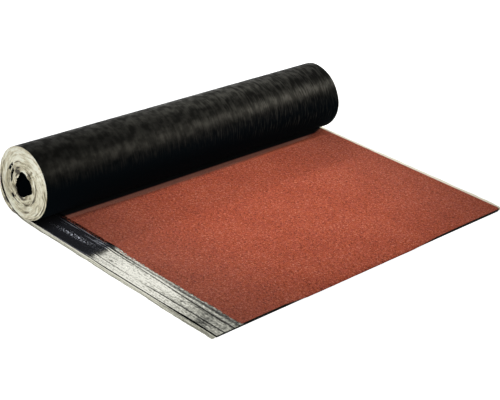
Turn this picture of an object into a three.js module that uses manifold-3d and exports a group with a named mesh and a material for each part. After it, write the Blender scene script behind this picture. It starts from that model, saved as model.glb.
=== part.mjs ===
// A roll of slate-surfaced roofing felt with its end rolled out, as a scene graph in millimetres, +Z up.
// The felt is one long bitumen sheet. From the cut end it lies on the floor along -X, passes under the roll,
// rises beside it in a loose loop and is wound on from there, underside outwards, about an axis along Y.
// Origin: on the underside of the laid felt, straight below the roll's axis, at half the sheet's width.

import * as THREE from "three";
import { mergeVertices } from "three/addons/utils/BufferGeometryUtils.js";
import Module from "manifold-3d";

const wasm = await Module();
wasm.setup();

// The sheet
const SHEET_LENGTH = 5000;
const SHEET_WIDTH = 1000;
const BITUMEN_THICKNESS = 4.0; // bitumen on its polyester fleece
const SLATE_THICKNESS = 1.0; // crushed slate pressed into the upper face
const LAP_WIDTH = 80; // bare border on the near side, which the next sheet overlaps
const LAP_FILM_THICKNESS = 0.4; // glossy film that covers the border until then
const LAYER_GAP = 0.3; // between a layer and the bitumen that carries it

// The film of the underside reaches past both long edges. It folds in along the loop, and over the winding
// it leans over the turns inside it and hides them.
const MARGIN_WIDTH = 12;
const MARGIN_THICKNESS = 0.6;
const WOUND_MARGIN_TUCK = 1; // from the turn's outside to the root of its margin
const WOUND_MARGIN_LEAN = 12; // from root to tip, towards the axis
const WOUND_MARGIN_RISE = 4; // how far the tip stands out from the roll's end
const WOUND_MARGIN_THICKNESS = 1.2; // the film is creased here
const MARGIN_FOLD_DEGREES = 65; // of the loop's bend, from the floor up, over which the margin folds in

// How the sheet lies
const LAID_LENGTH = 665; // from below the roll's axis to the cut end
const BORE_RADIUS = 36;
const WRAP_GAP = 0.3; // air between one turn and the next
const LOOP_BEND_RADIUS = 60; // of the loose loop, where it leaves the floor
const TONGUE_LENGTH = 45; // inner end of the sheet, which springs away from the winding
const TONGUE_LIFT = 3;
const EDGE_JOINT_WIDTH = 1.2; // joint between two turns, which the rounded edges of the sheet widen
const EDGE_JOINT_DEPTH = 3;
const CUTTER_OVERRUN = 1;

// Round stretches are cut into flats of so many degrees, and points closer than the merge distance are one.
const WRAP_STEP = 10;
const SURFACE_STEP = 5;
const MERGE_DISTANCE = 0.001;

const FELT_COLOUR = 0x1d1d1b;
const SLATE_COLOUR = 0xa04a39;
const LAP_FILM_COLOUR = 0xb9bab2;
const MARGIN_COLOUR = 0xd6d2bd;

const SHEET_THICKNESS = BITUMEN_THICKNESS + LAYER_GAP + SLATE_THICKNESS;
const PITCH = SHEET_THICKNESS + WRAP_GAP;
const HALF_WIDTH = SHEET_WIDTH / 2;
const QUARTER_TURN = Math.PI / 2;

// The roll stands on the laid felt with the six o'clock of its outermost turn, three quarters of a turn in.
const axisHeightAt = (radius) => SHEET_THICKNESS + WRAP_GAP + radius - 0.75 * PITCH;

// Radius of the roll at nine o'clock, where the loop joins it. The felt that isn't laid out or in the loop is
// wound, and the loop grows with the radius, so the two are settled together.
function settleRollRadius() {
  const passes = 40;
  let radius = BORE_RADIUS;
  for (let pass = 0; pass < passes; pass++) {
    const under = radius - LOOP_BEND_RADIUS;
    const loop = QUARTER_TURN * LOOP_BEND_RADIUS + axisHeightAt(radius) - LOOP_BEND_RADIUS;
    const wound = SHEET_LENGTH - LAID_LENGTH - under - loop;
    radius = Math.sqrt(BORE_RADIUS ** 2 + (wound * PITCH) / Math.PI);
  }
  return radius;
}

const ROLL_RADIUS = settleRollRadius();
const AXIS_HEIGHT = axisHeightAt(ROLL_RADIUS);
const LAST_DEGREE = (360 * (ROLL_RADIUS - BORE_RADIUS - PITCH)) / PITCH;
const TONGUE_DEGREES = THREE.MathUtils.radToDeg(TONGUE_LENGTH / BORE_RADIUS);

// A point of the winding in the section plane (X, Z). The angle is in degrees from nine o'clock, clockwise
// as seen from the near end, and depth is measured from the underside of the sheet towards the axis.
function onWinding(degrees, depth) {
  const tongue = Math.max(0, 1 - (LAST_DEGREE - degrees) / TONGUE_DEGREES);
  const radius = ROLL_RADIUS - (PITCH * degrees) / 360 - TONGUE_LIFT * tongue ** 2 - depth;
  const angle = THREE.MathUtils.degToRad(degrees);
  return new THREE.Vector2(-radius * Math.cos(angle), AXIS_HEIGHT + radius * Math.sin(angle));
}

function alongWinding(from, to, step, depth) {
  const count = Math.ceil((to - from) / step);
  return Array.from({ length: count + 1 }, (_, i) => onWinding(from + ((to - from) * i) / count, depth));
}

// The felt from its cut end to the loop's top, which stops short of nine o'clock.
function alongLaidFelt(depth, short = 0) {
  const bend = LOOP_BEND_RADIUS - depth;
  const points = [new THREE.Vector2(LAID_LENGTH, depth)];
  for (let degrees = 0; degrees <= 90; degrees += SURFACE_STEP) {
    const angle = THREE.MathUtils.degToRad(degrees);
    points.push(new THREE.Vector2(
      LOOP_BEND_RADIUS - ROLL_RADIUS - bend * Math.sin(angle),
      LOOP_BEND_RADIUS - bend * Math.cos(angle),
    ));
  }
  points.push(new THREE.Vector2(depth - ROLL_RADIUS, AXIS_HEIGHT - short));
  return points;
}

// A strip of the sheet between two lines of the section plane, from one side (y) to the other.
function strip(underside, upperSide, from, to) {
  const shape = new THREE.Shape([...underside, ...upperSide.toReversed()]);
  const geometry = new THREE.ExtrudeGeometry(shape, { depth: to - from, bevelEnabled: false });
  return geometry.rotateX(QUARTER_TURN).translate(0, to, 0);
}

function solid(geometry) {
  const bare = geometry.clone().deleteAttribute("normal").deleteAttribute("uv");
  const merged = mergeVertices(bare, MERGE_DISTANCE);
  return new wasm.Manifold(new wasm.Mesh({
    numProp: 3,
    vertProperties: merged.attributes.position.array,
    triVerts: new Uint32Array(merged.index.array),
  }));
}

function fromSolid(body) {
  const mesh = body.getMesh();
  const geometry = new THREE.BufferGeometry();
  geometry.setAttribute("position", new THREE.BufferAttribute(mesh.vertProperties, 3));
  geometry.setIndex(new THREE.BufferAttribute(mesh.triVerts, 1));
  return geometry;
}

// What lies between the innermost and the outermost turn is turned as one ring.
function woundCore() {
  const inner = BORE_RADIUS + PITCH - WRAP_GAP;
  const outer = ROLL_RADIUS - PITCH;
  const profile = [
    new THREE.Vector2(inner, -HALF_WIDTH),
    new THREE.Vector2(outer, -HALF_WIDTH),
    new THREE.Vector2(outer, HALF_WIDTH),
    new THREE.Vector2(inner, HALF_WIDTH),
    new THREE.Vector2(inner, -HALF_WIDTH),
  ];
  return new THREE.LatheGeometry(profile, 360 / SURFACE_STEP).translate(0, 0, AXIS_HEIGHT);
}

function turn(from, to) {
  const underside = alongWinding(from, to, SURFACE_STEP, 0);
  const upperSide = alongWinding(from, to, SURFACE_STEP, SHEET_THICKNESS);
  return strip(underside, upperSide, -HALF_WIDTH, HALF_WIDTH);
}

// The spiral joint between the turns, as it shows on both ends of the roll.
function turnJoints() {
  const outer = SHEET_THICKNESS - (EDGE_JOINT_WIDTH - WRAP_GAP) / 2;
  const lastJoint = LAST_DEGREE - 360;
  const sides = [
    [-HALF_WIDTH - CUTTER_OVERRUN, -HALF_WIDTH + EDGE_JOINT_DEPTH],
    [HALF_WIDTH - EDGE_JOINT_DEPTH, HALF_WIDTH + CUTTER_OVERRUN],
  ];
  return sides.map(([from, to]) => strip(
    alongWinding(0, lastJoint, WRAP_STEP, outer),
    alongWinding(0, lastJoint, WRAP_STEP, outer + EDGE_JOINT_WIDTH),
    from,
    to,
  ));
}

function feltSheet() {
  const laid = strip(alongLaidFelt(0), alongLaidFelt(BITUMEN_THICKNESS), -HALF_WIDTH, HALF_WIDTH);
  const turns = [turn(0, 360), turn(LAST_DEGREE - 360, LAST_DEGREE)];
  let sheet = solid(woundCore());
  for (const part of [laid, ...turns]) sheet = sheet.add(solid(part));
  for (const joint of turnJoints()) sheet = sheet.subtract(solid(joint));
  return fromSolid(sheet);
}

// A layer on the upper face of the laid felt and of the loop.
function layer(thickness, from, to) {
  const seat = BITUMEN_THICKNESS + LAYER_GAP;
  return strip(alongLaidFelt(seat, LAYER_GAP), alongLaidFelt(seat + thickness, LAYER_GAP), from, to);
}

// A body through a row of like rings of points.
function loft(rings) {
  const sides = rings[0].length;
  const positions = rings.flat().flatMap((point) => point.toArray());
  const indices = [];
  const face = (a, b, c, d) => indices.push(a, b, c, a, c, d);
  for (let start = 0; start < (rings.length - 1) * sides; start += sides) {
    for (let side = 0; side < sides; side++) {
      const next = (side + 1) % sides;
      face(start + side, start + sides + side, start + sides + next, start + next);
    }
  }
  const end = (rings.length - 1) * sides;
  face(0, 1, 2, 3);
  face(end + 3, end + 2, end + 1, end);
  const geometry = new THREE.BufferGeometry();
  geometry.setAttribute("position", new THREE.Float32BufferAttribute(positions, 3));
  return geometry.setIndex(indices);
}

// The margin of film along one edge of the sheet, from the cut end to the inner end: flat on the floor, then
// folding in along the loop until it leans over the wound turns. Side is -1 for the near edge.
function filmMargin(side) {
  const { lerp, smoothstep } = THREE.MathUtils;
  const section = (pointAt, wound) => {
    const root = WOUND_MARGIN_TUCK * wound;
    const tip = root + WOUND_MARGIN_LEAN * wound;
    const thickness = lerp(MARGIN_THICKNESS, WOUND_MARGIN_THICKNESS, wound);
    const reach = lerp(MARGIN_WIDTH, WOUND_MARGIN_RISE, wound);
    const outside = [[root, LAYER_GAP], [tip, reach]];
    const inside = [[tip + thickness, reach], [root + thickness, LAYER_GAP]];
    const ring = [...outside, ...inside].map(([depth, out]) => {
      const point = pointAt(depth);
      return new THREE.Vector3(point.x, side * (HALF_WIDTH + out), point.y);
    });
    return side > 0 ? ring : ring.reverse();
  };
  const folded = 1 + MARGIN_FOLD_DEGREES / SURFACE_STEP; // the bend's points follow the one at the cut end
  const laid = alongLaidFelt(0).map((_, i) => (
    section((depth) => alongLaidFelt(depth)[i], smoothstep(i, 1, folded))
  ));
  const count = Math.ceil(LAST_DEGREE / WRAP_STEP);
  const wound = Array.from({ length: count }, (_, i) => {
    const degrees = (LAST_DEGREE * (i + 1)) / count;
    return section((depth) => onWinding(degrees, depth), 1);
  });
  return loft([...laid, ...wound]);
}

const roll = new THREE.Group();

function piece(name, geometry, color, roughness, metalness = 0) {
  geometry.computeVertexNormals();
  const mesh = new THREE.Mesh(geometry, new THREE.MeshStandardMaterial({ color, roughness, metalness }));
  mesh.name = name;
  roll.add(mesh);
}

const lapEdge = LAP_WIDTH - HALF_WIDTH;
piece("felt_sheet", feltSheet(), FELT_COLOUR, 0.6);
piece("slate_facing", layer(SLATE_THICKNESS, lapEdge, HALF_WIDTH), SLATE_COLOUR, 0.95);
piece("lap_film", layer(LAP_FILM_THICKNESS, -HALF_WIDTH, lapEdge - LAYER_GAP), LAP_FILM_COLOUR, 0.25, 0.6);
piece("film_margin_near", filmMargin(-1), MARGIN_COLOUR, 0.45);
piece("film_margin_far", filmMargin(1), MARGIN_COLOUR, 0.45);

export default roll;
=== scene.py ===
import math

import bpy
from mathutils import Matrix, Vector


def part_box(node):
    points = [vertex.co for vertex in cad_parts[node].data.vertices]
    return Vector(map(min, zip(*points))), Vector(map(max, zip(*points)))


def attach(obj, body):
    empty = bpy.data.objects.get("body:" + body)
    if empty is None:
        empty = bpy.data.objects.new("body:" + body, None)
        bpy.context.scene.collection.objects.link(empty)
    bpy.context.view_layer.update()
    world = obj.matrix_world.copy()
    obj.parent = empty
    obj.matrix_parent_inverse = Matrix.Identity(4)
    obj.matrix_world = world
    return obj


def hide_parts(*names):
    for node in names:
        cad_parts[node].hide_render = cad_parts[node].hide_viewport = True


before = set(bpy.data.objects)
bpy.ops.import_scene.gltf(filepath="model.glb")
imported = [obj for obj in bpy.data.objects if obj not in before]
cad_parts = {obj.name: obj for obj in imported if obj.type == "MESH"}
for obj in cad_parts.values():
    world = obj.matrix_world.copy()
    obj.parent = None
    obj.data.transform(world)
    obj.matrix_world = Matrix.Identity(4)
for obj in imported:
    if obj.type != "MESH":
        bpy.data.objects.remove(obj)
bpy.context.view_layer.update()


# ---------------------------------------------------------------------------------------------------------
# The felt itself: one bitumen sheet on a polyester fleece, 1 m wide. It is laid flat from its cut end, rises
# behind the roll in a loose loop and is wound on from nine o'clock, underside outwards, round an open bore.
# The turns were wound a little off line, so they stand a few millimetres past the laid sheet's near edge.

felt_low, felt_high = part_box("felt_sheet")
ROLL_RADIUS = -felt_low.x
LAID_LENGTH = felt_high.x
EDGE = felt_high.y  # from the middle of the sheet to its long edges
SHEET_THICKNESS = 0.0053
FELT_THICKNESS = 0.0041
WRAP_GAP = 0.0003  # left between one turn and the next
PITCH = SHEET_THICKNESS + WRAP_GAP
BORE_RADIUS = 0.036
LOOP_BEND = 0.060  # the radius at which the sheet bends up behind the roll
TONGUE_LENGTH = 0.045  # of the inner end, which springs away from the turn round it
TONGUE_LIFT = 0.003
# Three quarters of a turn past nine o'clock, at the bottom, the roll rests on the laid sheet.
AXIS_HEIGHT = SHEET_THICKNESS + WRAP_GAP + ROLL_RADIUS - 0.75 * PITCH
LAST_DEGREE = 360 * (ROLL_RADIUS - BORE_RADIUS - PITCH) / PITCH  # of the inner end, past nine o'clock
# How far from the cut end the loop leaves the floor, and joins the roll at nine o'clock.
LOOP_START = LAID_LENGTH + ROLL_RADIUS - LOOP_BEND
ROLL_START = LOOP_START + math.pi / 2 * LOOP_BEND + AXIS_HEIGHT - LOOP_BEND
OFF_LINE = 0.0055  # how far the turns stand past the laid sheet's near edge
DENT = 0.0040  # how far the far end of the roll is pressed in at its upper right
DENT_ANGLE = math.radians(52)
BULGE = 0.0025  # and how far it bulges below that
BULGE_ANGLE = math.radians(-38)
OUT_OF_ROUND_FROM = 0.55 * EDGE  # how far from the middle of the sheet both begin
OUT_OF_ROUND_BEYOND = 0.6  # and how far from the axis, as a share of the roll's radius
CORNER_WORN = 0.009  # how far the far corner of the cut end is worn back


def on_winding(degrees):
    """A point of the wound sheet's underside, so many degrees past nine o'clock."""
    tongue = max(0, 1 - math.radians(LAST_DEGREE - degrees) * BORE_RADIUS / TONGUE_LENGTH)
    radius = ROLL_RADIUS - PITCH * degrees / 360 - TONGUE_LIFT * tongue**2
    angle = math.radians(degrees)
    return -radius * math.cos(angle), AXIS_HEIGHT + radius * math.sin(angle)


def length_at(degrees):
    """How far from the cut end the wound sheet is, so many degrees past nine o'clock."""
    return ROLL_START + math.radians(degrees) * (ROLL_RADIUS - PITCH * degrees / 720)


def on_sheet(length):
    """A point of the sheet's underside, so far from the cut end, up to where it joins the roll."""
    if length <= LOOP_START:
        return LAID_LENGTH - length, 0
    bend = (length - LOOP_START) / LOOP_BEND
    if bend <= math.pi / 2:
        return LOOP_BEND - ROLL_RADIUS - LOOP_BEND * math.sin(bend), LOOP_BEND * (1 - math.cos(bend))
    return -ROLL_RADIUS, AXIS_HEIGHT - (ROLL_START - length)


def sheet_line(name, laid_step, loop_step, wound_degrees=0):
    """The line of the sheet's underside, from the cut end through the loop, and into the winding if asked."""
    laid = round(LOOP_START / laid_step)
    loop = round((ROLL_START - LOOP_START) / loop_step)
    points = [on_sheet(LOOP_START * step / laid) for step in range(laid)]
    points += [on_sheet(LOOP_START + (ROLL_START - LOOP_START) * step / loop) for step in range(loop)]
    if wound_degrees:
        turns = round(LAST_DEGREE / wound_degrees)
        points += [on_winding(LAST_DEGREE * step / turns) for step in range(turns + 1)]
    return curve_object(name, points)


def curve_object(name, points):
    """A line in the plane across the roll, through points of (x, z)."""
    curve = bpy.data.curves.new(name, "CURVE")
    curve.dimensions = "3D"
    spline = curve.splines.new("POLY")
    spline.points.add(len(points) - 1)
    for point, (x, z) in zip(spline.points, points):
        point.co = (x, 0, z, 1)
    line = bpy.data.objects.new(name, curve)
    bpy.context.scene.collection.objects.link(line)
    return line


class Value:
    """What a node gives. A sum of values is written as a sum, and each step of it becomes a node."""

    def __init__(self, socket):
        self.socket = socket
        self.tree = socket.id_data

    def math(self, operation, *terms):
        return add(self.tree, "ShaderNodeMath", (self, *terms), operation=operation)

    def __add__(self, term):
        return self.math("ADD", term)

    def __radd__(self, term):
        return self.math("ADD", term)

    def __sub__(self, term):
        return self.math("SUBTRACT", term)

    def __rsub__(self, term):
        return add(self.tree, "ShaderNodeMath", (term, self), operation="SUBTRACT")

    def __mul__(self, term):
        return self.math("MULTIPLY", term)

    __rmul__ = __mul__

    def __truediv__(self, term):
        return self.math("DIVIDE", term)

    def hump(self, middle, reach):
        """1 at the middle, and falling smoothly away over about the reach on both sides."""
        off = (self - middle) / reach
        return (off * off * -1).math("EXPONENT")

    def between(self, low, high):
        """0 below low, 1 above high, and smooth between them."""
        return add(
            self.tree, "ShaderNodeMapRange", {"Value": self, "From Min": low, "From Max": high},
            interpolation_type="SMOOTHSTEP",
        )

    def part(self, axis):
        return add(self.tree, "ShaderNodeSeparateXYZ", (self,), give=axis)


def add(tree, kind, inputs=(), give=0, **settings):
    """Adds a node and says what it gives. Its inputs are numbers, or what other nodes give."""
    made = tree.nodes.new(kind)
    for name, setting in settings.items():
        setattr(made, name, setting)
    places = inputs.items() if isinstance(inputs, dict) else enumerate(inputs)
    for place, value in places:
        if isinstance(value, Value):
            tree.links.new(value.socket, made.inputs[place])
        elif value is not None:
            made.inputs[place].default_value = value
    return Value(made.outputs[give])


def capture(geometry, **fields):
    """Keeps fields on a geometry. Returns it and each field, as it stays through the steps that follow."""
    made = geometry.tree.nodes.new("GeometryNodeCaptureAttribute")
    geometry.tree.links.new(geometry.socket, made.inputs[0])
    kept = []
    for name, field in fields.items():
        kind = "VECTOR" if field.socket.type == "VECTOR" else "FLOAT"
        made.capture_items.new(kind, name)
        geometry.tree.links.new(field.socket, made.inputs[name])
        kept.append(Value(made.outputs[name]))
    return Value(made.outputs[0]), *kept


def wave(along, across, waves_along, waves_across, seed, detail, slant):
    """Noise from 0 to 1 over the flat sheet, in waves per metre each way, which may slant to its length."""
    across = across + along * slant
    at = add(along.tree, "ShaderNodeCombineXYZ", (along * waves_along + seed, across * waves_across + seed))
    return add(along.tree, "ShaderNodeTexNoise", {"Vector": at, "Scale": 1.0, "Detail": detail}, give="Fac")


class Growth:
    """A geometry node tree with named sizes, which grows a piece on a line or a mesh."""

    def __init__(self, name, **sizes):
        self.tree = bpy.data.node_groups.new(name, "GeometryNodeTree")
        self.sizes = sizes
        outside = self.tree.interface
        outside.new_socket("Start", in_out="INPUT", socket_type="NodeSocketGeometry")
        self.sockets = {}
        for size, value in sizes.items():
            kind = "NodeSocketInt" if isinstance(value, int) else "NodeSocketFloat"
            self.sockets[size] = outside.new_socket(size, in_out="INPUT", socket_type=kind)
        outside.new_socket("Piece", in_out="OUTPUT", socket_type="NodeSocketGeometry")
        given = self.tree.nodes.new("NodeGroupInput")
        self.given = {socket.name: Value(socket) for socket in given.outputs if socket.name}

    def grow(self, start, name, material, flat):
        """Ends the tree, with a flat place for the material, and returns the plain mesh that it makes."""
        tree = self.tree
        mesh = add(tree, "GeometryNodeRealizeInstances", (self.mesh,))
        mesh = add(
            tree, "GeometryNodeStoreNamedAttribute", {"Geometry": mesh, "Name": "UVMap", "Value": flat},
            data_type="FLOAT2", domain="CORNER",
        )
        mesh = add(tree, "GeometryNodeSetMaterial", {"Geometry": mesh, "Material": material})
        tree.links.new(mesh.socket, tree.nodes.new("NodeGroupOutput").inputs[0])
        modifier = start.modifiers.new(name, "NODES")
        modifier.node_group = tree
        for size, value in self.sizes.items():
            modifier[self.sockets[size].identifier] = value
        grown = start.evaluated_get(bpy.context.evaluated_depsgraph_get())
        plain = bpy.data.meshes.new_from_object(grown)
        bpy.data.objects.remove(start)
        piece = bpy.data.objects.new(name, plain)
        bpy.context.scene.collection.objects.link(piece)
        return piece


class Sweep(Growth):
    """Carries a line across the sheet along the sheet's own line, through the loop and the winding.

    along is the length from the cut end, share runs from 0 to 1 across, and wound from 0 on the laid sheet
    to 1 on the roll. place() shapes the swept mesh by the distance across the sheet (y) and by the depth
    inwards from the sheet's underside. Points that are gathered stand closer together towards both edges,
    and begins_at is how far from the cut end the line begins."""

    def __init__(self, name, gathered=False, begins_at=0.0, **sizes):
        super().__init__(name, begins_at=begins_at, **sizes)
        tree = self.tree
        point = add(tree, "GeometryNodeInputPosition")
        tangent = add(tree, "GeometryNodeInputTangent")
        length = add(tree, "GeometryNodeSplineParameter", give="Length") + self.given["begins_at"]
        line, self.point, tangent, self.along = capture(
            self.given["Start"], point=point, tangent=tangent, along=length
        )
        self.inwards = add(tree, "ShaderNodeVectorMath", ((0, 1, 0), tangent), operation="CROSS_PRODUCT")
        across = add(tree, "GeometryNodeCurvePrimitiveLine", {"Start": (0, 0, 0), "End": (0, 1, 0)})
        count = self.given["points_across"]
        across = add(tree, "GeometryNodeResampleCurve", {"Curve": across, "Count": count})
        share = add(tree, "GeometryNodeSplineParameter", give="Factor")
        if gathered:
            share = 0.5 - (share * math.pi).math("COSINE") * 0.5
        across, self.share = capture(across, share=share)
        self.mesh = add(tree, "GeometryNodeCurveToMesh", {"Curve": line, "Profile Curve": across})
        self.wound = self.along.between(LOOP_START, ROLL_START)

    def noise(self, waves_along, waves_across, seed, detail=2.0, slant=0.0):
        """Noise from -1 to 1 over the flat sheet, in waves per metre each way."""
        return wave(self.along, self.across, waves_along, waves_across, seed, detail, slant) * 2 - 1

    def out_of_round(self, across):
        """How deep the far end of the roll is pressed in, or bulges, at each angle."""
        far = across.between(OUT_OF_ROUND_FROM, EDGE)
        right = self.point.part("X") / ROLL_RADIUS
        up = (self.point.part("Z") - AXIS_HEIGHT) / ROLL_RADIUS
        to_dent = right * math.cos(DENT_ANGLE) + up * math.sin(DENT_ANGLE)
        to_bulge = right * math.cos(BULGE_ANGLE) + up * math.sin(BULGE_ANGLE)
        dented = to_dent.between(OUT_OF_ROUND_BEYOND, 1.0) * DENT
        bulged = to_bulge.between(OUT_OF_ROUND_BEYOND, 1.0) * BULGE
        return (dented - bulged) * far * self.wound

    def rounding(self, across):
        """How far the far corner of the cut end is worn back."""
        in_corner = (across - (EDGE - CORNER_WORN)).math("MAXIMUM", 0.0) / CORNER_WORN
        arc = 1 - (1 - in_corner * in_corner).math("MAXIMUM", 0.0).math("SQRT")
        return (self.along - arc * CORNER_WORN).math("MINIMUM", 0.0)

    def place(self, across, depth, ahead=0.0):
        """Puts each point so far across, so deep inside the underside, and so far out past the cut."""
        depth = depth + self.out_of_round(across)
        near = (across * -0.5 + 0.5 * EDGE) / EDGE  # 1 at the near edge and 0 at the far one
        beside = across - near * self.wound * OFF_LINE
        into = add(self.tree, "ShaderNodeVectorMath", {0: self.inwards, "Scale": depth}, operation="SCALE")
        beside = add(self.tree, "ShaderNodeCombineXYZ", {"X": ahead, "Y": beside})
        spot = add(self.tree, "ShaderNodeVectorMath", (self.point, into), operation="ADD")
        spot = add(self.tree, "ShaderNodeVectorMath", (spot, beside), operation="ADD")
        self.mesh = add(self.tree, "GeometryNodeSetPosition", {"Geometry": self.mesh, "Position": spot})
        self.mesh = add(self.tree, "GeometryNodeSetShadeSmooth", {"Geometry": self.mesh})

    def finish(self, line, name, material):
        flat = add(self.tree, "ShaderNodeCombineXYZ", (self.along, self.across))
        return self.grow(line, name, material, flat)


def thicken(piece, thickness, towards=1):
    """Gives a sheet its thickness, on the side that its faces look to, or with -1 on the other."""
    wall = piece.modifiers.new("thickness", "SOLIDIFY")
    wall.thickness = thickness
    wall.offset = towards


def finish_of(name, colour, roughness, specular=0.5, metallic=0.0):
    """A material with its even values set, and its node tree and shader for what varies."""
    made = bpy.data.materials.new(name)
    made.use_nodes = True
    shader = made.node_tree.nodes["Principled BSDF"]
    shader.inputs["Base Color"].default_value = (*colour, 1)
    shader.inputs["Roughness"].default_value = roughness
    shader.inputs["Specular IOR Level"].default_value = specular
    shader.inputs["Metallic"].default_value = metallic
    return made, made.node_tree, shader


def flat_grain(tree, waves_along, waves_across, seed, detail=3.0, slant=0.0):
    """Noise from 0 to 1 over the flat sheet, in a material."""
    flat = add(tree, "ShaderNodeUVMap", uv_map="UVMap")
    return wave(flat.part("X"), flat.part("Y"), waves_along, waves_across, seed, detail, slant)


def ramp(tree, factor, *stops):
    """A colour ramp through stops of (place, colour)."""
    made = tree.nodes.new("ShaderNodeValToRGB")
    tree.links.new(factor.socket, made.inputs[0])
    while len(made.color_ramp.elements) < len(stops):
        made.color_ramp.elements.new(0.5)
    for element, (place, colour) in zip(made.color_ramp.elements, stops):
        element.position = place
        element.color = (*colour, 1)
    return Value(made.outputs["Color"])


def mix(tree, factor, first, second):
    """The first colour where the factor is 0 and the second where it is 1."""
    made = tree.nodes.new("ShaderNodeMix")
    made.data_type = "RGBA"
    for socket, value in ((made.inputs[0], factor), (made.inputs[6], first), (made.inputs[7], second)):
        if isinstance(value, Value):
            tree.links.new(value.socket, socket)
        else:
            socket.default_value = (*value, 1)
    return Value(made.outputs[2])


def bump(tree, shader, height, depth):
    """Relief of a height from 0 to 1 that stands for so many metres."""
    normal = add(tree, "ShaderNodeBump", {"Height": height, "Distance": depth, "Strength": 1.0})
    tree.links.new(normal.socket, shader.inputs["Normal"])


def link(value, shader, socket):
    shader.id_data.links.new(value.socket, shader.inputs[socket])


# Heights over the floor between which the painted sheen and the scrapes on the roll begin or end.
UPPER_SHEEN_HEIGHTS = (0.10, 0.17)
TOP_SHEEN_HEIGHTS = (0.177, 0.188)
SCRAPED_FROM = (0.092, 0.135)
SCRAPED_TO = (0.135, 0.165)
SHEEN_BAND_HEIGHT = 0.1505  # of the band of painted sheen along the roll, mottled with dust
SHEEN_BAND_REACH = 0.0118
SHADE_LINE_HEIGHT = 0.171  # of the painted shade line above that band, between the two sheens
SHADE_LINE_REACH = 0.007
BLUE_BLACK = (0.0012, 0.0026, 0.0036)
WARM_BLACK = (0.0021, 0.0021, 0.0016)
DUST_AND_SHEEN = (0.115, 0.111, 0.093)


def bitumen():
    """Black under clear film, dusty in clouds, streaky at the far end; painted sheen above and shade below.
    """
    made, tree, shader = finish_of("bitumen", WARM_BLACK, 0.45, specular=0.02)
    place = add(tree, "ShaderNodeTexCoord", give="Object")
    up = place.part("Z")
    beside = place.part("Y")
    far = beside.between(-0.2, 0.45)
    clouds = flat_grain(tree, 45, 40, 13.0, detail=7.0, slant=0.1)
    streaks = flat_grain(tree, 22, 190, 17.0, detail=6.0, slant=0.05)
    patches = flat_grain(tree, 34, 66, 31.0, detail=6.0, slant=0.05).between(0.32, 0.66)
    streaky = 0.12 + far * 0.42
    smear = clouds.between(0.28, 0.72) * (1 - streaky) + streaks.between(0.40, 0.60) * streaky
    smear = smear * (1 + (patches - 0.5) * (0.6 + far * 1.1))
    patchy = (smear * 1.9 - 0.42).math("MAXIMUM", 0.0)
    # Painted sheen where light falls on the roll: a band, the top and the upper side; painted shade: a line
    # above the band.
    sheen_band = (up - far * 0.003).hump(SHEEN_BAND_HEIGHT, SHEEN_BAND_REACH) * (0.37 + beside.between(0.0, 0.5) * 0.78)
    top_sheen = up.between(*TOP_SHEEN_HEIGHTS) * (0.16 + beside.between(-0.45, 0.15) * 0.17)
    shade_line = up.hump(SHADE_LINE_HEIGHT, SHADE_LINE_REACH)
    upper_sheen = up.between(*UPPER_SHEEN_HEIGHTS) * (0.112 + beside * 0.05) - shade_line * 0.03
    scrapes = flat_grain(tree, 28, 230, 41.0, detail=4.0, slant=0.03).between(0.50, 0.66)
    scraped = (up + far * 0.045).between(*SCRAPED_FROM) * (1 - up.between(*SCRAPED_TO))
    scraped = scraped * (0.07 + far * 0.07)
    cut_face = 1 - add(tree, "ShaderNodeUVMap", uv_map="UVMap").part("X").between(0.0005, 0.0025)
    paler_by = patchy * upper_sheen + sheen_band * (0.31 + smear * 0.38) + top_sheen * (0.20 + smear * 0.60)
    # Some more painted sheen on the upper side, with the scrapes and the paler cut face.
    paler_by = paler_by + scrapes * scraped + up.between(0.12, 0.17) * 0.016 + cut_face * 0.13
    # Painted shade: low down the black is colder.
    black = mix(tree, up.between(0.10, 0.16), BLUE_BLACK, WARM_BLACK)
    link(mix(tree, paler_by, black, DUST_AND_SHEEN), shader, "Base Color")
    link(1 - up.between(0.09, 0.16) * (0.36 + smear * 0.36), shader, "Roughness")
    bump(tree, shader, streaks, 0.0005)
    return made


felt_tree = Sweep("felt_winding", gathered=True, points_across=31, unevenness=0.0003, cut_wander=0.0006)
felt_tree.across = (felt_tree.share - 0.5) * (2 * EDGE)
uneven = felt_tree.noise(6, 4, 1.0) * felt_tree.given["unevenness"]
at_cut = 1 - felt_tree.along.between(0.0, 0.006)
cut_back = at_cut * (felt_tree.noise(0, 60, 8.0, detail=5.0) - 1) * felt_tree.given["cut_wander"]
felt_tree.place(felt_tree.across, uneven, cut_back + felt_tree.rounding(felt_tree.across))
felt_line = sheet_line("felt_line", laid_step=0.02, loop_step=0.005, wound_degrees=4)
felt = felt_tree.finish(felt_line, "felt", bitumen())
thicken(felt, FELT_THICKNESS)
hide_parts("felt_sheet")
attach(felt, "root")


# ---------------------------------------------------------------------------------------------------------
# The slate: crushed red-brown stone rolled into the hot upper face, from the lap border to the far edge. It
# goes on through the loop and the winding, where it lines the bore. Beneath the roll's foot it is painted
# black as painted contact shadow, before the roll it holds two strips of painted light in the roll's shade,
# and along the middle of the cut it hangs a little over the end of the felt.

LAP_WIDTH = 0.080
SLATE_THICKNESS = SHEET_THICKNESS - FELT_THICKNESS
GRAINS_PER_METRE = 620
LAID_STEP = 0.004
EDGE_OVER_BORDER = 0.0045  # how far the ragged edge reaches over the border at the cut end
WOUND_STEPS = 400  # of the line that carries the slate in the winding
# Across the sheet, where the slate begins and ends to hang over the cut.
HANGS_FROM = (-0.31, -0.21)
HANGS_TO = (0.13, 0.27)
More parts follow.
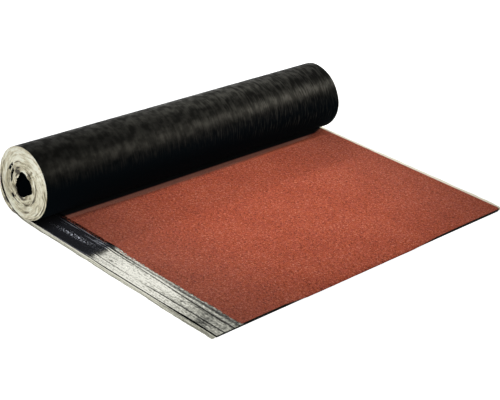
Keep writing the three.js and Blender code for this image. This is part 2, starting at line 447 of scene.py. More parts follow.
# Along the sheet from below the axis: a bright and a paler strip of painted light, then painted contact
# shadow.
BRIGHT_FROM = (-0.087, -0.073)
BRIGHT_TO = (-0.067, -0.061)
PALE_FROM = (-0.073, -0.065)
CONTACT_SHADOW_FROM = (-0.0535, -0.045)
STONE_RED = (0.40, 0.085, 0.048)
STONE_DUST = (0.52, 0.36, 0.31)
PALE_RED = (0.64, 0.31, 0.23)
BRIGHT_RED = (0.78, 0.19, 0.095)
PINK = (0.42, 0.115, 0.130)
CUT_BLACK = (0.012, 0.010, 0.008)
CONTACT_SHADOW_BLACK = (0.0012, 0.0018, 0.0024)


def slate():
    """Crushed stone of several reds, dusty at both edges, with painted light and shadow at the roll's foot.
    """
    made, tree, shader = finish_of("slate", STONE_RED, 0.9, specular=0.10)
    place = add(tree, "ShaderNodeUVMap", uv_map="UVMap")
    grains = tree.nodes.new("ShaderNodeTexVoronoi")
    tree.links.new(place.socket, grains.inputs["Vector"])
    grains.inputs["Scale"].default_value = GRAINS_PER_METRE
    kind = Value(grains.outputs["Color"]).part(0)
    clumps = flat_grain(tree, 150, 150, 6.0, detail=4.0).between(0.32, 0.68)
    drift = flat_grain(tree, 9, 9, 4.0, detail=6.0)
    pinker = flat_grain(tree, 60, 60, 23.0, detail=5.0).between(0.36, 0.64)
    colour = ramp(
        tree, kind * 0.67 + clumps * 0.25 + drift.between(0.34, 0.66) * 0.07,
        (0.11, (0.11, 0.028, 0.016)), (0.33, (0.29, 0.052, 0.025)), (0.53, (0.41, 0.081, 0.037)),
        (0.76, (0.53, 0.124, 0.060)), (0.89, (0.58, 0.23, 0.15)),
    )
    colour = mix(tree, pinker * 0.10, colour, PINK)
    along = place.part("X")
    across = place.part("Y")
    paler_by = (1 - across.between(-0.42, -0.15)) * 0.060 + across.between(0.2, 0.48) * 0.035
    colour = mix(tree, paler_by, colour, STONE_DUST)
    on_floor = 1 - along.between(LAID_LENGTH + 0.03, LAID_LENGTH + 0.06)
    foot = along - LAID_LENGTH - across.between(0.455, 0.495) * 0.012
    near = 1 - across.between(-0.40, -0.15)
    far = across.between(0.40, 0.455)
    pale_from = foot - across.between(0.15, 0.42) * 0.005 - near * 0.005
    # Painted light: the strip before the roll, in its shade, is paler and greyer.
    pale = pale_from.between(*PALE_FROM) * on_floor * (1 - far) * (0.55 - near * 0.16)
    colour = mix(tree, pale, colour, PALE_RED)
    # Painted light: a brighter strip just beyond it.
    bright = foot.between(*BRIGHT_FROM) * (1 - foot.between(*BRIGHT_TO)) * across.between(0.05, 0.35)
    colour = mix(tree, bright * 0.34, colour, BRIGHT_RED)
    # Painted contact shadow: black where the roll rests on the slate.
    contact_shadow = (foot + across.between(0.1, 0.42) * 0.0015).between(*CONTACT_SHADOW_FROM) * on_floor
    hanging = across.between(*HANGS_FROM) * (1 - across.between(*HANGS_TO))
    cut_off = 1 - (along + hanging * 0.0010).between(0.0006, 0.0018)
    colour = mix(tree, cut_off, colour, CUT_BLACK)
    link(mix(tree, contact_shadow, colour, CONTACT_SHADOW_BLACK), shader, "Base Color")
    bump(tree, shader, 1 - Value(grains.outputs["Distance"]), 0.0007)
    return made


red = slate()


def slate_layer(name, line, points_across, begins_at=0.0):
    """A strip of the slated face on a line of the sheet, with a ragged edge along the lap border."""
    tree = Sweep(
        name + "_tree", gathered=True, begins_at=begins_at, points_across=points_across, raggedness=0.0065,
        cut_wear=0.0014, overhang=0.0030, droop=0.0030,
    )
    border = 1 - tree.share.between(0.0, 0.002)
    tree.across = tree.share * (2 * EDGE - LAP_WIDTH) + (LAP_WIDTH - EDGE)
    ragged = tree.noise(130, 1, 5.0, detail=5.0) * tree.given["raggedness"] * border
    near_roll = tree.along.between(0.435, 0.480)
    shift = near_roll * 0.0050 + tree.along.between(0.30, 0.36) * 0.0015 - EDGE_OVER_BORDER
    tree.across = tree.across + ragged * (1 - tree.along.between(0.41, 0.45) * 0.84) + border * shift
    cut = 1 - tree.along.between(0.0, LAID_STEP)
    over = tree.across.between(*HANGS_FROM) * (1 - tree.across.between(*HANGS_TO))
    over = over * (1 - tree.along.between(LAID_STEP, 2 * LAID_STEP))
    ahead = cut * (tree.noise(0, 300, 9.0, detail=5.0) - 1) * tree.given["cut_wear"]
    ahead = ahead + over * (tree.along + cut * tree.given["overhang"]) + tree.rounding(tree.across)
    depth = FELT_THICKNESS + tree.noise(40, 40, 2.0) * 0.0001 - over * cut * tree.given["droop"]
    tree.place(tree.across, depth, ahead)
    layer = tree.finish(line, name, red)
    thicken(layer, SLATE_THICKNESS)
    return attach(layer, "root")


slate_line = sheet_line("slate_line", laid_step=LAID_STEP, loop_step=0.006)
slate_facing = slate_layer("slate_facing_laid", slate_line, points_across=60)
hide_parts("slate_facing")
wound_points = [on_winding(LAST_DEGREE * step / WOUND_STEPS) for step in range(WOUND_STEPS + 1)]
wound_line = curve_object("wound_slate_line", wound_points)
slate_layer("slate_in_winding", wound_line, points_across=8, begins_at=ROLL_START)


# ---------------------------------------------------------------------------------------------------------
# The coarser stones of the slate, which stand up out of it over the laid face. They are thick along the lap
# border, where some of them lie on the film.

# Along the floor from the roll's axis, where the stones begin and end.
STONES_FROM = 0.052
STONES_TO = LAID_LENGTH - 0.004
# Across the sheet: the outer edge of the border's stones, where they meet the rest, and the far edge.
BORDER_STONES_FROM = -0.4285
BORDER_STONES_TO = -0.4215
FIELD_TO = 0.496
FIELD_GAP = 0.0001
STONE_FIELDS = ((BORDER_STONES_FROM, BORDER_STONES_TO), (BORDER_STONES_TO + FIELD_GAP, FIELD_TO))
THICK_TO = 0.445  # how far from the cut end the border's stones lie thick


def stones():
    """Each stone has one colour of its own, from nearly black to pink."""
    made, tree, shader = finish_of("slate_stones", STONE_RED, 0.85, specular=0.3)
    colour = ramp(
        tree, add(tree, "ShaderNodeUVMap", uv_map="UVMap").part("X"),
        (0.0, (0.08, 0.032, 0.022)), (0.25, (0.26, 0.057, 0.032)), (0.6, (0.44, 0.090, 0.043)),
        (0.85, (0.58, 0.136, 0.065)), (1.0, (0.66, 0.31, 0.20)),
    )
    link(colour, shader, "Base Color")
    return made


def chance(tree, low, high, seed):
    """Three values for each stone, each drawn between low and high."""
    limits = {"Min": low, "Max": high, "Seed": seed}
    return add(tree, "FunctionNodeRandomValue", limits, data_type="FLOAT_VECTOR")


corners = []
for across_from, across_to in STONE_FIELDS:
    corners += [(STONES_FROM, across_from), (STONES_TO, across_from)]
    corners += [(STONES_TO, across_to), (STONES_FROM, across_to)]
field_mesh = bpy.data.meshes.new("stone_fields")
field_mesh.from_pydata([(x, y, SHEET_THICKNESS) for x, y in corners], [], [(0, 1, 2, 3), (4, 5, 6, 7)])
fields = bpy.data.objects.new("stone_fields", field_mesh)
bpy.context.scene.collection.objects.link(fields)

scatter = Growth("stone_tree", over_field=13000.0, along_border=300000.0, radius=0.0010, seed=7)
over_field, along_border = scatter.given["over_field"], scatter.given["along_border"]
spot = add(scatter.tree, "GeometryNodeInputPosition")
in_border = spot.part("Y").math("LESS_THAN", BORDER_STONES_TO + FIELD_GAP / 2)
thick = spot.part("X").math("GREATER_THAN", LAID_LENGTH - THICK_TO)
density = over_field + in_border * (thick * along_border - over_field)
stone_points = add(scatter.tree, "GeometryNodeDistributePointsOnFaces", {
    "Mesh": scatter.given["Start"], "Density": density, "Seed": scatter.given["seed"],
})
shade = chance(scatter.tree, (0, 0, 0), (1, 1, 1), 1).part("X")
stone_points, shade = capture(stone_points, shade=shade)
one_stone = add(scatter.tree, "GeometryNodeMeshUVSphere", {
    "Segments": 5, "Rings": 2, "Radius": scatter.given["radius"],
})
scatter.mesh = add(scatter.tree, "GeometryNodeInstanceOnPoints", {
    "Points": stone_points, "Instance": one_stone,
    "Rotation": chance(scatter.tree, (0, 0, 0), (0.5, 0.5, 2 * math.pi), 2),
    "Scale": chance(scatter.tree, (0.45, 0.4, 0.2), (1.1, 0.9, 0.6), 3),
})
shades = add(scatter.tree, "ShaderNodeCombineXYZ", (shade, shade))
loose_stones = scatter.grow(fields, "slate_stones", stones(), shades)
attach(loose_stones, "root")


# ---------------------------------------------------------------------------------------------------------
# The film over the lap border: thin, silvery and bright, stuck down along the near edge until the next sheet
# is torched on. It mirrors the roll beside it, and the white room further out. It has long creases from the
# winding, fine crinkles between them, and scratches close to the roll. Its colour is painted darker beside
# the roll as painted shade, and towards the cut end and in its creases as painted dimmer reflection.

LAP_FILM_THICKNESS = 0.0001
LAP_FILM_INSET = 0.0003  # from the edge of the felt, and from the slate
LAP_FILM_CLEARANCE = 0.0005  # over the felt
LOOSE_AND_LIT_TO = LAID_LENGTH - 0.235  # where it stops lying loose and clings, and the painted shade begins
LOOSE_BLEND = 0.008  # how far to both sides of that place the change takes
SCRATCHED = LAID_LENGTH - 0.135  # the middle of the scratches
# Where the film is painted darker: under the roll as painted shade, and in a line beside the slate.
DARK_UNDER_ROLL = (LAID_LENGTH - 0.10, LAID_LENGTH - 0.03)  # along
DARK_BESIDE_SLATE = (-0.4262, -0.4240)  # across
FILM_SILVER = (0.68, 0.67, 0.59)
SHADED_MIRROR_GREY = (0.46, 0.47, 0.54)
SCRATCH_WHITE = (0.88, 0.92, 1.0)
MIRROR_DARK = (0.02, 0.024, 0.02)
# The long creases: across at the cut end and beside the roll, half width, and how deep at each of the two.
LAP_CREASES = (
    (-0.4370, -0.4365, 0.0013, 0.55, 1.0), (-0.4492, -0.4428, 0.0016, 1.5, 0.9),
    (-0.4787, -0.4820, 0.0015, 1.6, 0.35), (-0.4335, -0.4338, 0.0009, 0.9, 0.6),
)
# Where it is grey or marked: along, across, half length, half width, and how dark.
LAP_MARKS = (
    (0.060, -0.487, 0.018, 0.014, 0.42), (0.075, -0.462, 0.030, 0.010, 0.16),
    (0.090, -0.434, 0.100, 0.004, 0.22), (0.085, -0.453, 0.060, 0.003, 0.26),
    (0.150, -0.465, 0.004, 0.004, 0.55), (0.382, -0.471, 0.010, 0.004, 0.40),
    (0.265, -0.456, 0.0015, 0.005, 0.45), (0.230, -0.484, 0.010, 0.004, 0.20),
    (0.180, -0.436, 0.050, 0.006, 0.16), (0.170, -0.475, 0.070, 0.006, 0.14),
    (0.110, -0.451, 0.030, 0.007, 0.16),
)


def creases(along, across):
    """The height of the long creases: as deep as said along the middle of each, and 0 between them."""
    height = 0.0
    further_in = along.between(0.08, 0.34)
    faint = along.between(0.20, 0.28)
    wander = wave(along, across, 9, 0, 3.0, 3.0, 0.0) - 0.5
    for crease_at_cut, crease_inside, crease_width, deep_at_cut, deep_inside in LAP_CREASES:
        middle = further_in * (crease_inside - crease_at_cut) + crease_at_cut
        deep = faint * (deep_inside - deep_at_cut) + deep_at_cut
        height = (across - middle + wander * 0.0020).hump(0.0, crease_width) * deep + height
    return height


def lap_silver():
    """Bright silver where loose; a smoother mirror, darker with painted shade, where it clings to the felt.
    """
    made, tree, shader = finish_of("lap_silver", FILM_SILVER, 0.12, metallic=0.94)
    flat = add(tree, "ShaderNodeUVMap", uv_map="UVMap")
    along, across = flat.part("X"), flat.part("Y")
    crinkles = flat_grain(tree, 120, 200, 2.0, detail=6.0)
    veins = flat_grain(tree, 8, 260, 6.0, detail=4.0)
    pits = flat_grain(tree, 260, 330, 9.0, detail=3.0).between(0.34, 0.42)
    loose_and_lit = 1 - (along + (crinkles - 0.5) * 0.05).between(LOOSE_AND_LIT_TO - LOOSE_BLEND, LOOSE_AND_LIT_TO + LOOSE_BLEND)
    # Painted dimmer reflection: darker towards the cut end.
    silver = 0.43 + along.between(0.0, 0.26) * 0.47 + (crinkles - 0.5) * 1.4 + (veins - 0.5) * 0.9
    for mark_along, mark_across, half_length, half_width, dark in LAP_MARKS:
        silver = silver - across.hump(mark_across, half_width) * along.hump(mark_along, half_length) * dark
    silver = silver - across.between(-0.439, -0.432) * (0.14 + along.hump(0.24, 0.10) * 0.14)
    # Darker in its pits, and in its creases as painted dimmer reflection.
    silver = silver * (0.55 + 0.45 * pits) - creases(along, across) * 0.55
    loose_lit_colour = ramp(
        tree, silver,
        (0.0, (0.015, 0.015, 0.012)), (0.3, (0.17, 0.17, 0.145)),
        (0.6, (0.45, 0.445, 0.38)), (0.9, (0.86, 0.85, 0.76)),
    )
    flecks = flat_grain(tree, 240, 230, 8.0, detail=2.0, slant=0.4).between(0.51, 0.62)
    lines = flat_grain(tree, 14, 300, 1.0, detail=3.0, slant=0.03).between(0.47, 0.66)
    scraped = along.hump(SCRATCHED, 0.070) * (across + (along - SCRATCHED) * 0.05).hump(-0.463, 0.008)
    scratches = flecks * scraped + lines * along.between(0.43, 0.46) * across.hump(-0.436, 0.011) * 0.6
    # Where it clings, a darker mirror grey as painted shade, with scratches that catch the light.
    clinging_and_shaded = mix(tree, scratches, SHADED_MIRROR_GREY, SCRATCH_WHITE)
    dark = across.between(*DARK_BESIDE_SLATE).math("MAXIMUM", along.between(*DARK_UNDER_ROLL) * 0.8)
    clinging_and_shaded = mix(tree, dark, clinging_and_shaded, MIRROR_DARK)
    link(mix(tree, loose_and_lit, clinging_and_shaded, loose_lit_colour), shader, "Base Color")
    link(0.12 + scratches * 0.7, shader, "Roughness")
    bump(tree, shader, (crinkles * 0.5 + veins * 0.5) * (0.25 + 0.75 * loose_and_lit), 0.00012)
    return made


lap_tree = Sweep(
    "lap_film_tree", points_across=81, crease_height=0.0006, ripple=0.00030, recess=0.0020, lift=0.0015,
)
lap_tree.across = lap_tree.share * (LAP_WIDTH - 2 * LAP_FILM_INSET) + (LAP_FILM_INSET - EDGE)
height = lap_tree.noise(14, 60, 4.0, detail=3.0) * lap_tree.given["ripple"]
height = height + creases(lap_tree.along, lap_tree.across) * lap_tree.given["crease_height"]
height = height + lap_tree.along.hump(LOOSE_AND_LIT_TO, 0.032) * lap_tree.given["lift"]
near_edge = 1 - lap_tree.share.between(0.0, 0.2)
drawn_in = near_edge * lap_tree.along.hump(0.085, 0.055) * lap_tree.given["recess"]
lap_tree.place(lap_tree.across + drawn_in, FELT_THICKNESS + LAP_FILM_CLEARANCE + height)
lap_line = sheet_line("lap_line", laid_step=0.004, loop_step=0.006)
lap_film = lap_tree.finish(lap_line, "lap_film_creased", lap_silver())
thicken(lap_film, LAP_FILM_THICKNESS, towards=-1)
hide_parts("lap_film")
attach(lap_film, "root")


# ---------------------------------------------------------------------------------------------------------
# The film of the underside: thin, cream and soft. It reaches past both long edges and lies on the floor
# beside the laid felt. Where the felt is wound it is folded in flat over the turns inside it and hides them,
# apart from a few slits where it has torn or slipped.

FILM_THICKNESS = 0.00025
FILM_LIFT = 0.0004  # above the underside of the sheet, and inside it on the roll
LAID_REACH = 0.0096  # how far it stands out past the sheet on the floor
WOUND_REACH = 0.0135  # and on the roll
LOOP_GAP_RADIUS = 0.0848  # from the roll's axis to its folded edge in the loop
LAID_TURN = 0.02  # how far it turns up at the edge of the laid sheet, in radians
FILM_CREAM = (0.80, 0.77, 0.66)
SLIT_BLACK = (0.006, 0.006, 0.006)
# Its colours on the floor, at the near edge and at the far one, which is painted paler as painted light.
LAID_CREAMS = ((0.30, (0.32, 0.315, 0.25)), (0.43, (0.70, 0.69, 0.56)), (0.60, (0.96, 0.95, 0.81)))
LAID_PALE_CREAMS = ((0.30, (0.96, 0.90, 0.70)), (0.60, (1.0, 0.96, 0.80)))
# Where the folded film has torn or slipped: the middle in degrees past nine o'clock, the half length in
# degrees, the middle radius, the half width, and how much larger the radius gets in a degree.
SLITS = (
    (15, 27, 0.0444, 0.0013, 0.00002), (28, 8, 0.0568, 0.0011, 0.0), (41, 6, 0.0562, 0.0009, 0.0),
    (-48, 6, 0.0582, 0.0028, 0.0),
)
# Where it is wrinkled most: degrees past nine o'clock, and how far to both sides.
LOWER_WRINKLES = (-55, 18)
UPPER_WRINKLES = (135, 22)
# Where it is shaded by its folds or stands out into the light: the middle and the half length in degrees, the
# middle radius, the half width, and how dark it is, or below 0 how bright.
SHADES = (
    (47, 9, 0.0355, 0.0034, 4.2), (60, 12, 0.0300, 0.0040, 5.0), (38, 10, 0.0275, 0.0025, 2.6),
    (-38, 13, 0.0290, 0.0040, 6.0), (30, 18, 0.0580, 0.0030, 0.5), (-62, 9, 0.0566, 0.0013, 1.6),
    (-74, 8, 0.0548, 0.0012, 1.3), (-14, 14, 0.0590, 0.0060, 0.5), (-10, 10, 0.0523, 0.0018, 0.7),
    (-152, 18, 0.0862, 0.0015, 1.7), (-133, 17, 0.0807, 0.0014, 1.6), (131, 16, 0.0400, 0.0060, 2.1),
    (172, 15, 0.0530, 0.0014, 2.4), (-156, 24, 0.0515, 0.0020, 1.0), (169, 10, 0.0867, 0.0014, 1.0),
    (-35, 16, 0.0862, 0.0014, 1.4), (-55, 20, 0.0560, 0.0070, 0.45), (70, 14, 0.0550, 0.0012, 1.8),
    (-110, 34, 0.0480, 0.0040, 0.5), (-20, 22, 0.0400, 0.0060, 0.5), (126, 28, 0.0800, 0.0080, -0.7),
    (163, 6, 0.0449, 0.0045, -0.9), (35, 45, 0.0720, 0.0090, -0.4), (-60, 16, 0.0770, 0.0070, -0.6),
    (75, 20, 0.0600, 0.0050, -0.4), (-76, 22, 0.0368, 0.0036, 4.0), (-102, 9, 0.0508, 0.0012, 1.2),
    (-97, 8, 0.0688, 0.0011, 0.9), (-75, 18, 0.0810, 0.0040, -2.2), (-57, 10, 0.0690, 0.0030, -0.9),
    (45, 18, 0.0850, 0.0040, -1.0), (-30, 14, 0.0760, 0.0060, -0.8), (172, 16, 0.0445, 0.0040, 1.0),
    (-150, 12, 0.0520, 0.0045, 0.9), (138, 9, 0.0605, 0.0035, -1.4), (64, 9, 0.0410, 0.0026, 2.0),
    (80, 14, 0.0630, 0.0030, -1.1), (-126, 20, 0.0862, 0.0028, 1.1), (163, 10, 0.0627, 0.0035, -1.2),
)
# How far the innermost film hangs into the bore: degrees past nine o'clock, and the radius it leaves open.
BORE_EDGE = (
    (-180, 0.0375), (-165, 0.0378), (-147, 0.0310), (-128, 0.0276), (-100, 0.0308), (-85, 0.0326),
    (-64, 0.0345), (-52, 0.0330), (-38, 0.0268), (-27, 0.0290), (-14, 0.0275), (6, 0.0227),
    (30, 0.0188), (58, 0.0200), (70, 0.0262), (80, 0.0298), (92, 0.0310), (106, 0.0310),
    (132, 0.0318), (150, 0.0340), (168, 0.0367), (180, 0.0375),
)


def polar(x, z):
    """The degrees past nine o'clock and the radius of a place on the end of the roll."""
    up = z - AXIS_HEIGHT
    radius = (x * x + up * up).math("SQRT")
    return (up.math("ARCTAN2", x * -1)) * (180 / math.pi), radius


def off_by(angle, middle):
    """How many degrees an angle is from the middle, the short way round."""
    return (angle - middle).math("WRAP", 180, -180)


def lens(angle, radius, middle, half, slit_radius, half_width, slope):
    """How open a slit is along its length, half its width there, and how far outside its line a place is."""
    off = off_by(angle, middle)
    opened = (1 - (off / half) * (off / half)).math("MAXIMUM", 0.0)
    return opened, opened.math("SQRT") * half_width, radius - off * slope - slit_radius


def round_the_end(tree, angle, radius, round_waves, waves_out, seed):
    """Noise on the end of the roll, in waves round it and waves per metre outwards."""
    turn = angle * (math.pi / 180)
    reach = round_waves / (2 * math.pi)
    spot = (turn.math("COSINE") * reach, turn.math("SINE") * reach, radius * waves_out + seed)
    at = add(tree, "ShaderNodeCombineXYZ", spot)
    return add(tree, "ShaderNodeTexNoise", {"Vector": at, "Scale": 1.0, "Detail": 4.0}, give="Fac")


def cream_film(name, laid_colours):
    """Cream, with painted brown shade in its wrinkles and folds, and painted black shade in its slits."""
    made, tree, shader = finish_of(name, FILM_CREAM, 0.45, specular=0.35)
    along = add(tree, "ShaderNodeUVMap", uv_map="UVMap").part("X")
    place = add(tree, "ShaderNodeTexCoord", give="Object")
    angle, radius = polar(place.part("X"), place.part("Z"))
    at_near_end = 1 - place.part("Y").between(-0.2, 0.0)
    folds = flat_grain(tree, 13, 150, 5.0, detail=4.0, slant=0.3)
    crumples = flat_grain(tree, 90, 220, 11.0, detail=5.0, slant=0.3)
    patches = round_the_end(tree, angle, radius, 11, 90, 2.0)
    wrinkles = round_the_end(tree, angle, radius, 60, 30, 7.0)
    threads = round_the_end(tree, angle, radius, 16, 420, 4.0)
    wrinkled = angle.hump(*LOWER_WRINKLES) + angle.hump(*UPPER_WRINKLES)
    # The film of the loop is painted in shade.
    in_loop = along.between(LAID_LENGTH, LAID_LENGTH + 0.03)
    shade = in_loop * (1 - along.between(ROLL_START - 0.080, ROLL_START - 0.040))
    for middle, half, shade_radius, half_width, dark in SHADES:
        shade = shade + radius.hump(shade_radius, half_width) * off_by(angle, middle).hump(0.0, half) * dark
    tone = folds * 0.4 + crumples * 0.15 + patches * 0.3
    tone = tone + threads * 0.15 * at_near_end + (1 - at_near_end) * 0.075
    tone = tone + (wrinkles - 0.5) * wrinkled * 0.40
    tone = (tone - 0.5) * 1.8 + 0.5
    wound = ramp(
        tree, tone - shade * at_near_end * 0.20,
        (0.20, (0.045, 0.037, 0.020)), (0.34, (0.29, 0.255, 0.16)), (0.43, (0.57, 0.52, 0.36)),
        (0.51, (0.80, 0.75, 0.565)), (0.64, (1.0, 0.99, 0.83)),
    )
    # Black painted in and just beside each slit, as painted shade in the gap.
    black = 0.0
    for slit in SLITS:
        opened, gap, out = lens(angle, radius + (crumples - 0.5) * 0.002, *slit)
        in_slit = ((out - 0.0005).math("ABSOLUTE") - gap).between(0.0013, 0.0005)
        black = in_slit * opened.between(0.0, 0.1) + black
    wound = mix(tree, black.math("MINIMUM", 1.0) * at_near_end, wound, SLIT_BLACK)
    lengthways = flat_grain(tree, 9, 420, 12.0, detail=4.0) * 0.75 + crumples * 0.25
    outwards = add(tree, "ShaderNodeUVMap", uv_map="UVMap").part("Y") / WOUND_REACH - 0.4
    at_cut = 1 - along.between(0.11, 0.18)
    lengthways = (lengthways - 0.5) * 1.7 + 0.56 - at_cut * 0.18 - outwards * (0.40 - at_cut * 0.36)
    laid = ramp(tree, lengthways, *laid_colours)
    off_floor = along.between(LAID_LENGTH - 0.01, LAID_LENGTH + 0.03)
    link(mix(tree, off_floor, laid, wound), shader, "Base Color")
    bump(tree, shader, tone, 0.0009)
    return made


def torn(radius, angle, reach, wander):
    """The reach of the folded film, shortened where a slit is open."""
    for slit in SLITS:
        opened, gap, out = lens(angle, radius + wander * 0.0010, *slit)
        over = (out - gap).math("MAXIMUM", 0.0004)
        crosses = opened.between(0.0, 0.5) * (out + gap).between(0.0, 0.0003)
        reach = reach + crosses * (reach.math("MINIMUM", over) - reach)
    return reach


def along_curve(tree, angle, points):
    """The value that a smooth curve through points of (degrees, value) has at an angle."""
    made = tree.nodes.new("ShaderNodeFloatCurve")
    line = made.mapping.curves[0].points
    while len(line) < len(points):
        line.new(0.5, 0.5)
    for point, (degrees, value) in zip(line, points):
        point.location = (degrees / 360 + 0.5, value)
    made.mapping.update()
    tree.links.new((angle / 360 + 0.5).socket, made.inputs["Value"])
    return Value(made.outputs[0])


def edge_film(name, node, side, seed, cream):
    """The film past one long edge, on side -1 for the near edge or 1 for the far one."""
    at_near_end = side < 0
    tree = Sweep(
        name + "_tree", points_across=18, fold=1.36, corner=0.0016, loop_corner=0.0034, crease=0.0020,
        rise=0.0046,
    )
    tree.across = tree.share * WOUND_REACH
    folded = tree.along.between(LAID_LENGTH - 0.01, LOOP_START + 0.02)
    on_roll = tree.along.between(ROLL_START - 0.02, ROLL_START + 0.02)
    inner = tree.along.between(length_at(LAST_DEGREE - 380), length_at(LAST_DEGREE - 350))
    angle, radius = polar(tree.point.part("X"), tree.point.part("Z"))
    # It stands out flat on the floor, turns in through the loop, and lies folded over the end of the roll.
    laid_reach = LAID_REACH + (1 - tree.along.between(0.40, 0.50)) * 0.0020
    if at_near_end:
        laid_reach = laid_reach + (1 - tree.along.between(0.14, 0.24)) * 0.0022
    else:
        laid_reach = laid_reach + 0.0020
    loop_reach = radius - LOOP_GAP_RADIUS
    reach = laid_reach + folded * (loop_reach - laid_reach) + on_roll * (WOUND_REACH - loop_reach)
    frayed = tree.noise(16, 0, seed, detail=5.0)
    reach = reach * (1 + frayed * (0.40 - folded * 0.34 + on_roll * 0.94))
    if at_near_end:
        # The innermost film hangs into the bore, and nowhere does the film reach further in than that.
        hanging = radius - along_curve(tree.tree, angle, BORE_EDGE) + frayed * 0.0016
        reach = reach.math("MINIMUM", hanging.math("MAXIMUM", 0.0) + (1 - on_roll))
        reach = reach + inner * (hanging - reach)
        reach = torn(radius, angle, reach, tree.noise(60, 0, seed + 7, detail=4.0))
    uneven_fold = tree.noise(20, 0, seed + 9, detail=3.0) * (0.10 + inner * 0.3)
    fold = LAID_TURN + folded * tree.given["fold"] * (1 + uneven_fold)
    # Past the edge of the sheet it bends round a small corner and goes on straight.
    in_loop = folded * (1 - on_roll)
    corner = tree.given["corner"] + in_loop * tree.given["loop_corner"]
    length = tree.share * reach
    bend = length.math("MINIMUM", corner * fold)
    turned = bend / corner
    rest = length - bend
    crease = tree.noise(22, 220, seed + 4, detail=4.0, slant=0.3)
    crease = crease * 0.8 + tree.noise(80, 160, seed + 5, detail=3.0, slant=0.3) * 0.6
    crease = crease * tree.given["crease"] * tree.share.between(0.0, 0.3) * on_roll
    out = corner * turned.math("SINE") + rest * fold.math("COSINE") + crease
    depth = corner * (1 - turned.math("COSINE")) + rest * fold.math("SINE")
    if at_near_end:
        # On the floor it stands up in a narrow ridge beside the felt, higher towards the roll.
        beside_felt = tree.share * 8
        ridge = beside_felt * (1 - beside_felt).math("EXPONENT")
        ridge = ridge * (0.46 + tree.along.between(0.12, 0.16) * 0.14 + tree.along.between(0.36, 0.42) * 0.34)
    else:
        # On the floor it stands up in one broad bow.
        ridge = tree.share.between(0.0, 0.25) * (1 - tree.share * 0.35) * tree.along.between(0.0, 0.05)
    rise = ridge * tree.given["rise"] * (0.94 + tree.noise(9, 0, seed + 2) * 0.3)
    ripple = (tree.noise(26, 130, seed + 3, detail=3.0) * 0.5 + 0.5) * tree.share * 0.0018
    tree.place((out + EDGE) * side, depth + FILM_LIFT + (1 - folded) * (rise + ripple))
    line = sheet_line(name + "_line", laid_step=0.004, loop_step=0.003, wound_degrees=1.6)
    film = tree.finish(line, name, cream)
    thicken(film, FILM_THICKNESS, towards=-side)
    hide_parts(node)
    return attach(film, "root")


edge_film("edge_film_near", "film_margin_near", -1, 1.0, cream_film("cream_film", LAID_CREAMS))
# The far edge's film is painted paler, as painted light.
edge_film("edge_film_far", "film_margin_far", 1, 31.0, cream_film("cream_film_pale", LAID_PALE_CREAMS))


# ---------------------------------------------------------------------------------------------------------
# The studio: a plain pale floor, soft lamps from the back and the front, a round pool of light over the laid
# felt, and the camera.

FLOOR_SIZE = 60
FLOOR_HEIGHT = -0.0004  # just under the film, so that the two never lie in one plane
FLOOR_GLOW = 0.86  # how bright the floor looks by itself, without lighting anything
WORLD_LIGHT = 0.08
WHITE = (1, 1, 1, 1)

bpy.ops.mesh.primitive_plane_add(size=FLOOR_SIZE, location=(0, 0, FLOOR_HEIGHT))
floor = bpy.context.object
floor.name = "floor"
floor_white, floor_tree, floor_shader = finish_of("floor_white", (0.9, 0.9, 0.9), 0.9, specular=0.0)
floor.data.materials.append(floor_white)


def seen_directly(tree):
    """1 for what the camera, a reflection or a clear body shows, and 0 for what lights the object."""
    ray = tree.nodes.new("ShaderNodeLightPath")
    seen = Value(ray.outputs["Is Camera Ray"]).math("MAXIMUM", Value(ray.outputs["Is Glossy Ray"]))
    return seen.math("MAXIMUM", Value(ray.outputs["Is Transmission Ray"]))


floor_shader.inputs["Emission Color"].default_value = WHITE
link(seen_directly(floor_tree) * FLOOR_GLOW, floor_shader, "Emission Strength")

world = bpy.data.worlds.new("studio")
bpy.context.scene.world = world
world.use_nodes = True
sky = world.node_tree.nodes["Background"]
sky.inputs["Color"].default_value = WHITE
link(seen_directly(world.node_tree) * (1 - WORLD_LIGHT) + WORLD_LIGHT, sky, "Strength")


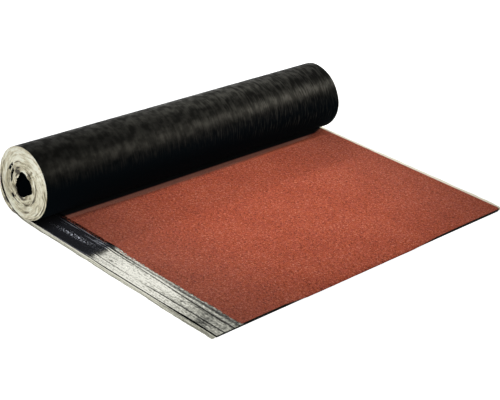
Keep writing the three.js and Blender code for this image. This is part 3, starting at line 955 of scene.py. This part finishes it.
def lamp(name, place, target, length, width, watts):
    """A soft lamp, as long as said across its beam and as wide up and down."""
    light = bpy.data.lights.new(name, "AREA")
    light.shape = "RECTANGLE"
    light.size = length
    light.size_y = width
    light.energy = watts
    made = bpy.data.objects.new(name, light)
    bpy.context.scene.collection.objects.link(made)
    made.location = place
    made.rotation_euler = (Vector(target) - Vector(place)).to_track_quat("-Z", "Y").to_euler()
    return made


back = lamp("back_strip", place=(-2.1, 1.3, 2.15), target=(0.2, 1.3, 0.1), length=3.2, width=0.2, watts=34)
back.visible_glossy = False
behind = lamp("behind", place=(0.30, 1.7, 0.20), target=(0.28, 0.5, 0.0), length=1.7, width=0.3, watts=18)
behind.visible_glossy = False
lamp("front", place=(1.3, -2.3, 0.9), target=(-0.05, -0.5, 0.05), length=0.5, width=0.5, watts=32)

POOL_PLACE = (0.38, 0.05, 1.3)
POOL_LEAN = math.atan2(0.11, 1.3)  # from straight down, towards the roll
pool_light = bpy.data.lights.new("pool", "SPOT")
pool_light.energy = 48
pool_light.spot_size = math.radians(54)
pool_light.spot_blend = 1.0
pool_light.shadow_soft_size = 0.15
pool = bpy.data.objects.new("pool", pool_light)
bpy.context.scene.collection.objects.link(pool)
pool.location = POOL_PLACE
pool.rotation_euler = (0, POOL_LEAN, 0)

CAMERA_PLACE = Vector((2.34342, -2.21318, 1.49155))
# In radians: its turn from looking along Y, how far down it looks, and its own tilt.
YAW, PITCH_DOWN, TILT = -0.75637, 0.45319, 0.08456
LENS = 97.377
SENSOR_WIDTH = 36
ahead = Vector((
    math.sin(YAW) * math.cos(PITCH_DOWN), math.cos(YAW) * math.cos(PITCH_DOWN), -math.sin(PITCH_DOWN),
))
level = Vector((math.cos(YAW), -math.sin(YAW), 0))
upright = level.cross(ahead)
camera_right = math.cos(TILT) * level + math.sin(TILT) * upright
camera_up = math.cos(TILT) * upright - math.sin(TILT) * level
turned = Matrix((camera_right, camera_up, -ahead)).transposed().to_4x4()
camera = bpy.data.objects.new("camera", bpy.data.cameras.new("camera"))
bpy.context.scene.collection.objects.link(camera)
camera.data.lens = LENS
camera.data.sensor_width = SENSOR_WIDTH
camera.matrix_world = Matrix.Translation(CAMERA_PLACE) @ turned
bpy.context.scene.camera = camera
bpy.context.scene.view_settings.view_transform = "Standard"
